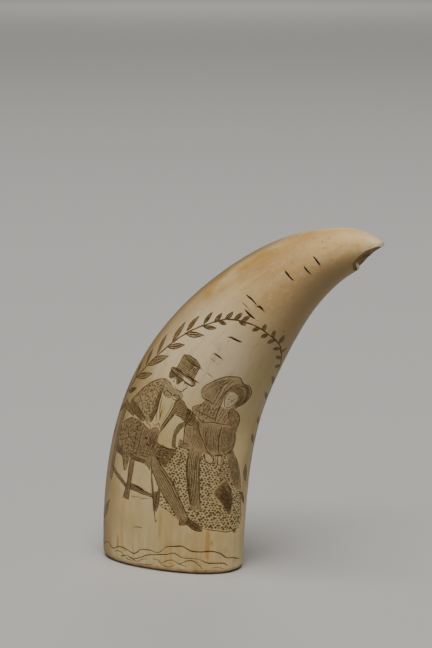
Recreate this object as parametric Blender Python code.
"""Scrimshaw whale tooth: one polished sperm whale tooth, sawn flat so that it stands on its root end.

The origin is the centre of the flat base and +Z is up. The tooth bends in the XZ plane, with its tip
towards +X, and its broad engraved face looks towards -Y. The engraving is finer than this model.
"""
import math

import bmesh
import bpy
import numpy as np
from mathutils import Matrix, Vector

# The tooth's axis. Stations run from 0 at the base to 1 at the tip, lengths are metres.
AXIS_LENGTH = 0.1917
AXIS_LEAN = ((0.0, 0.0), (0.25, 10.5), (0.5, 32.2), (0.75, 49.8), (1.0, 86.9))  # degrees from upright

# The cross-sections: superellipses, oval at the base and rounder towards the tip.
HALF_WIDTH = ((0.0, 0.0328), (0.15, 0.0329), (0.35, 0.0309), (0.55, 0.0258), (0.75, 0.0178),
              (0.88, 0.0116), (0.96, 0.0067), (1.0, 0.0020))
BASE_THICKNESS_RATIO = 0.52
TIP_THICKNESS_RATIO = 0.80
BASE_EXPONENT = 2.2
TIP_EXPONENT = 2.0
BASE_EDGE_RADIUS = 0.0028
TIP_ROUNDING = 0.0004

# The chip broken out of the underside of the tip: a shallow scoop that ends in a step.
SCOOP_BOTTOM = Vector((0.0887, 0.0, 0.1435))
SCOOP_FACES = Vector((0.59, -0.19, -0.785))
SCOOP_RADII = (0.0115, 0.006, 0.012)  # along the tooth, into it and across it
STEP_AT = Vector((0.0843, 0.0, 0.1380))
STEP_FACES = Vector((0.97, 0.05, 0.22))
FLAKE_CENTRE = Vector((0.0860, -0.0044, 0.1372))
FLAKE_RADII = (0.0020, 0.0047, 0.0040)

# How finely the curved surfaces are faceted.
RING_COUNT = 54
RING_POINTS = 72
EDGE_RINGS = 4
CUTTER_SEGMENTS = 40


def smooth_curve(stations, at):
    """Values at the places `at` on a smooth curve through (place, value) stations."""
    place, value = np.array(stations).T
    step = np.diff(place)
    rise = np.diff(value) / step
    slope = np.concatenate([rise[:1], rise])
    slope[1:-1] = (rise[:-1] * step[1:] + rise[1:] * step[:-1]) / (step[:-1] + step[1:])
    first = np.clip(np.searchsorted(place, at, side="right") - 1, 0, len(step) - 1)
    t = (at - place[first]) / step[first]
    start = value[first] * (1 + 2 * t) * (1 - t) ** 2 + step[first] * slope[first] * t * (1 - t) ** 2
    end = value[first + 1] * t * t * (3 - 2 * t) - step[first] * slope[first + 1] * t * t * (1 - t)
    return start + end


def axis_stations():
    """Places along the axis, closer together round the base edge and towards the tip."""
    even = np.linspace(0.0, 1.0, RING_COUNT)
    body = 1.0 - (1.0 - even) ** 1.3
    turn = np.linspace(0.0, math.pi / 2, EDGE_RINGS + 1)
    edge = BASE_EDGE_RADIUS * (1.0 - np.cos(turn)) / AXIS_LENGTH
    return np.concatenate([edge, body[body > edge[-1] * 1.3]])


def axis_points(stations):
    """The axis point at each station and the lean there, by adding up short straight steps."""
    fine = np.linspace(0.0, 1.0, 2001)
    middle = (fine[1:] + fine[:-1]) / 2
    lean = np.radians(smooth_curve(AXIS_LEAN, middle))
    x = np.concatenate([[0.0], np.cumsum(np.sin(lean))]) * AXIS_LENGTH / len(middle)
    z = np.concatenate([[0.0], np.cumsum(np.cos(lean))]) * AXIS_LENGTH / len(middle)
    lean_there = np.radians(smooth_curve(AXIS_LEAN, stations))
    return np.interp(stations, fine, x), np.interp(stations, fine, z), lean_there


def section(station, height):
    """One cross-section's points, as offsets across the bend plane and towards +Y."""
    half_width = smooth_curve(HALF_WIDTH, np.array([station]))[0]
    ratio = BASE_THICKNESS_RATIO + (TIP_THICKNESS_RATIO - BASE_THICKNESS_RATIO) * station
    power = 2.0 / (BASE_EXPONENT + (TIP_EXPONENT - BASE_EXPONENT) * station)
    short = max(BASE_EDGE_RADIUS - height, 0.0)
    inset = BASE_EDGE_RADIUS - math.sqrt(BASE_EDGE_RADIUS ** 2 - short ** 2)
    turn = np.arange(RING_POINTS) * (2 * math.pi / RING_POINTS)
    cosine, sine = np.cos(turn), np.sin(turn)
    across = (half_width - inset) * np.sign(cosine) * np.abs(cosine) ** power
    outward = (half_width * ratio - inset) * np.sign(sine) * np.abs(sine) ** power
    return across, outward


def tip_rings(shape, last, lean):
    """Rings that round the tooth off past its last section."""
    centre = sum((corner.co for corner in last), Vector()) / len(last)
    forward = Vector((math.sin(lean), 0.0, math.cos(lean)))
    rings = []
    for turn in np.radians((30.0, 55.0, 75.0)):
        middle = centre + forward * TIP_ROUNDING * math.sin(turn)
        rings.append([shape.verts.new(middle + (corner.co - centre) * math.cos(turn)) for corner in last])
    return rings


def tooth_mesh():
    """The whole unbroken tooth: a loft through its sections, closed at the base and the tip."""
    stations = axis_stations()
    axis_x, axis_z, lean = axis_points(stations)
    shape = bmesh.new()
    rings = []
    for station, x, z, angle in zip(stations, axis_x, axis_z, lean):
        across, outward = section(station, z)
        ring_x = x + across * math.cos(angle)
        ring_z = z - across * math.sin(angle)
        rings.append([shape.verts.new(point) for point in zip(ring_x, outward, ring_z)])
    rings += tip_rings(shape, rings[-1], lean[-1])
    for lower, upper in zip(rings, rings[1:]):
        for here in range(RING_POINTS):
            after = (here + 1) % RING_POINTS
            shape.faces.new((lower[here], lower[after], upper[after], upper[here]))
    shape.faces.new(reversed(rings[0]))
    shape.faces.new(rings[-1])
    bmesh.ops.recalc_face_normals(shape, faces=shape.faces)
    return finished_mesh(shape, "tooth")


def scoop_mesh():
    """An ellipsoid that hollows the underside of the tip, cut off square where the step stays."""
    facing = SCOOP_FACES.normalized()
    sideways = facing.cross(Vector((0.0, 1.0, 0.0))).cross(facing).normalized()
    along = sideways.cross(facing)
    turn = Matrix((along, facing, sideways)).transposed().to_4x4()
    centre = SCOOP_BOTTOM + facing * SCOOP_RADII[1]
    shape = bmesh.new()
    place = Matrix.Translation(centre) @ turn @ Matrix.Diagonal((*SCOOP_RADII, 1.0))
    bmesh.ops.create_uvsphere(shape, u_segments=CUTTER_SEGMENTS, v_segments=CUTTER_SEGMENTS // 2,
                              radius=1.0, matrix=place)
    everything = shape.verts[:] + shape.edges[:] + shape.faces[:]
    cut = bmesh.ops.bisect_plane(shape, geom=everything, plane_co=STEP_AT, plane_no=STEP_FACES,
                                 clear_inner=True)
    rim = [item for item in cut["geom_cut"] if isinstance(item, bmesh.types.BMEdge)]
    bmesh.ops.edgeloop_fill(shape, edges=rim)
    bmesh.ops.recalc_face_normals(shape, faces=shape.faces)
    return finished_mesh(shape, "scoop_cutter")


def flake_mesh():
    """A small ellipsoid that takes a second flake off the near side of the step."""
    shape = bmesh.new()
    place = Matrix.Translation(FLAKE_CENTRE) @ Matrix.Diagonal((*FLAKE_RADII, 1.0))
    bmesh.ops.create_uvsphere(shape, u_segments=CUTTER_SEGMENTS // 2, v_segments=CUTTER_SEGMENTS // 3,
                              radius=1.0, matrix=place)
    return finished_mesh(shape, "flake_cutter")


def finished_mesh(shape, name):
    """Turn the working shape into a smooth-shaded mesh with its real edges kept sharp."""
    mesh = bpy.data.meshes.new(name)
    shape.to_mesh(mesh)
    shape.free()
    mesh.shade_smooth()
    mesh.set_sharp_from_angle(angle=math.radians(40.0))
    return mesh


def ivory():
    """Aged, polished tooth ivory."""
    material = bpy.data.materials.new("ivory")
    material.use_nodes = True
    surface = material.node_tree.nodes["Principled BSDF"]
    surface.inputs["Base Color"].default_value = (0.66, 0.50, 0.31, 1.0)
    surface.inputs["Roughness"].default_value = 0.38
    surface.inputs["Metallic"].default_value = 0.0
    material.diffuse_color = (0.66, 0.50, 0.31, 1.0)
    return material


def new_collection(name):
    """A collection under the scene's own."""
    collection = bpy.data.collections.new(name)
    bpy.context.scene.collection.children.link(collection)
    return collection


def add_cutter(tooth, mesh, collection):
    """Cut a hidden solid out of the tooth."""
    cutter = bpy.data.objects.new(mesh.name, mesh)
    cutter.hide_render = True
    cutter.display_type = "WIRE"
    collection.objects.link(cutter)
    cut = tooth.modifiers.new(mesh.name, "BOOLEAN")
    cut.operation = "DIFFERENCE"
    cut.solver = "EXACT"
    cut.object = cutter


def main():
    for old in list(bpy.data.objects):
        bpy.data.objects.remove(old, do_unlink=True)
    tooth = bpy.data.objects.new("tooth", tooth_mesh())
    tooth.data.materials.append(ivory())
    new_collection("whale_tooth").objects.link(tooth)
    cutters = new_collection("cutters")
    add_cutter(tooth, scoop_mesh(), cutters)
    add_cutter(tooth, flake_mesh(), cutters)


main()
